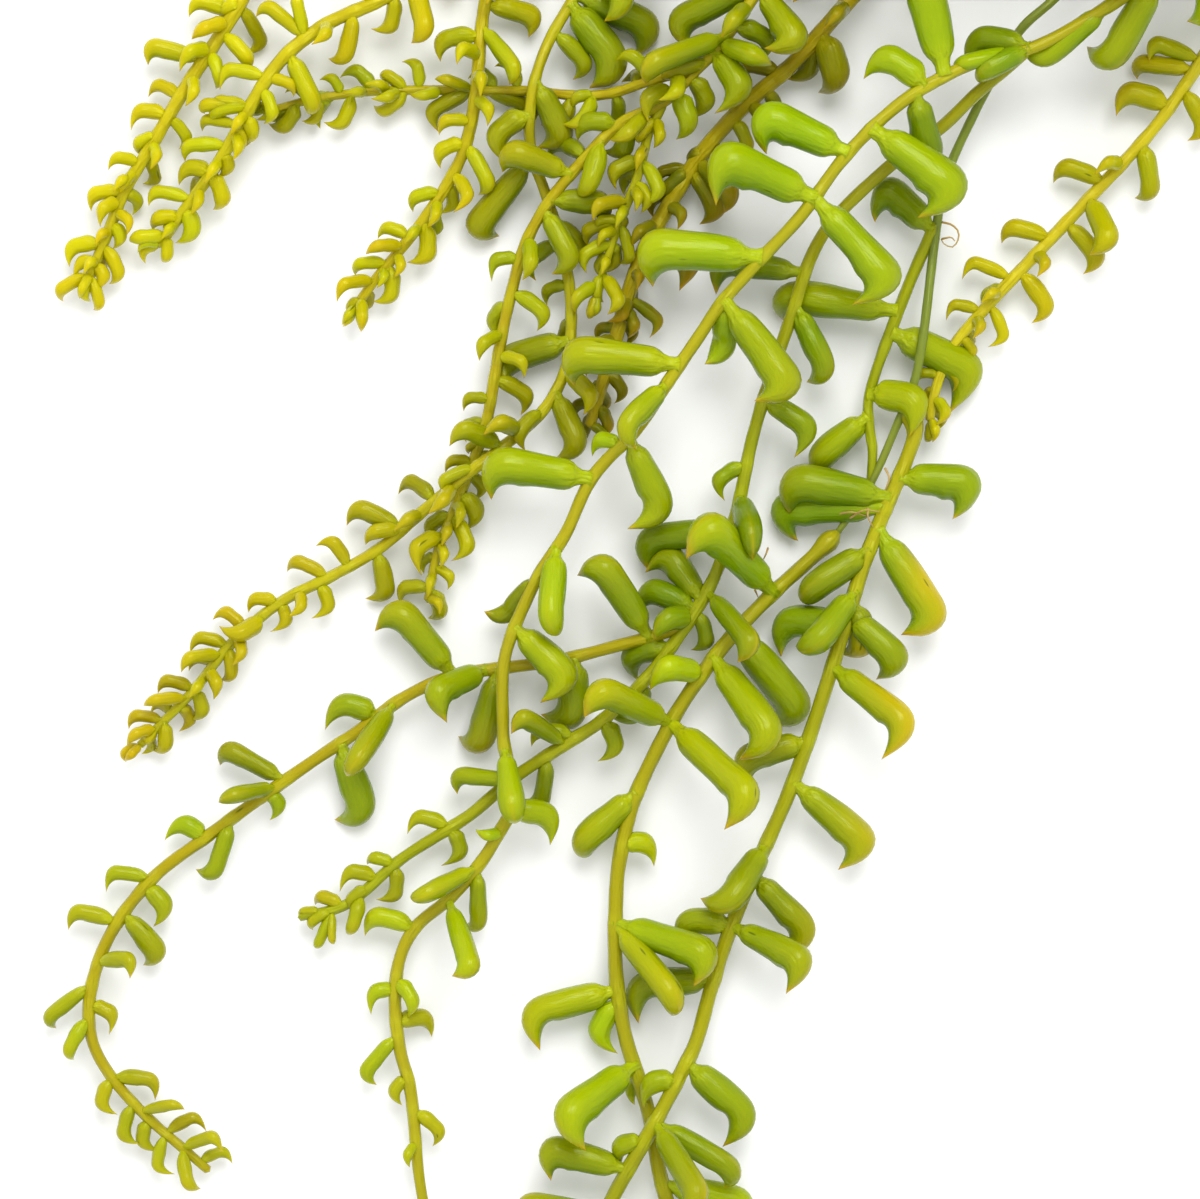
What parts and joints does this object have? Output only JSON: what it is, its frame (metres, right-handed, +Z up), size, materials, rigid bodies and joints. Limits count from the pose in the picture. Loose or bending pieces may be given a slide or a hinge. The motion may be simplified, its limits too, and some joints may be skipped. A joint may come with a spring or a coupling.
{
  "type": "potted trailing succulent with hooked leaves",
  "caption": "Clay pot of a trailing succulent: leafy stems with hooked, beaked leaves come over the rim and lie spread on the surface below.",
  "frame": {"origin": "middle of the pot's flat base, on the surface that the plant stands on", "axes": "+Z up; the long stems trail towards -Y and -X, so -Y runs down the picture and +X to its right"},
  "size_m": [0.2652, 0.4415, 0.1081],
  "materials": {
    "terracotta": "matte fired clay",
    "soil": "coarse moist potting soil",
    "young_leaf": "glossy young leaf",
    "green_leaf": "glossy succulent leaf",
    "flushed_leaf": "glossy leaf with an orange flush",
    "bright_leaf": "glossy bright leaf"
  },
  "bodies": {
    "root": {"pot": "terracotta", "soil": "soil", "strand_1": "young_leaf", "strand_2": "young_leaf", "strand_3": "young_leaf", "strand_4": "green_leaf", "strand_5": "green_leaf", "strand_6": "flushed_leaf", "strand_7": "green_leaf", "strand_8": "bright_leaf", "strand_9": "flushed_leaf", "sprig_1": "green_leaf", "sprig_2": "green_leaf", "sprig_3": "green_leaf", "sprig_4": "green_leaf", "sprig_5": "green_leaf", "sprig_6": "green_leaf", "sprig_7": "green_leaf", "sprig_8": "green_leaf", "sprig_9": "green_leaf"}
  },
  "joints": []
}
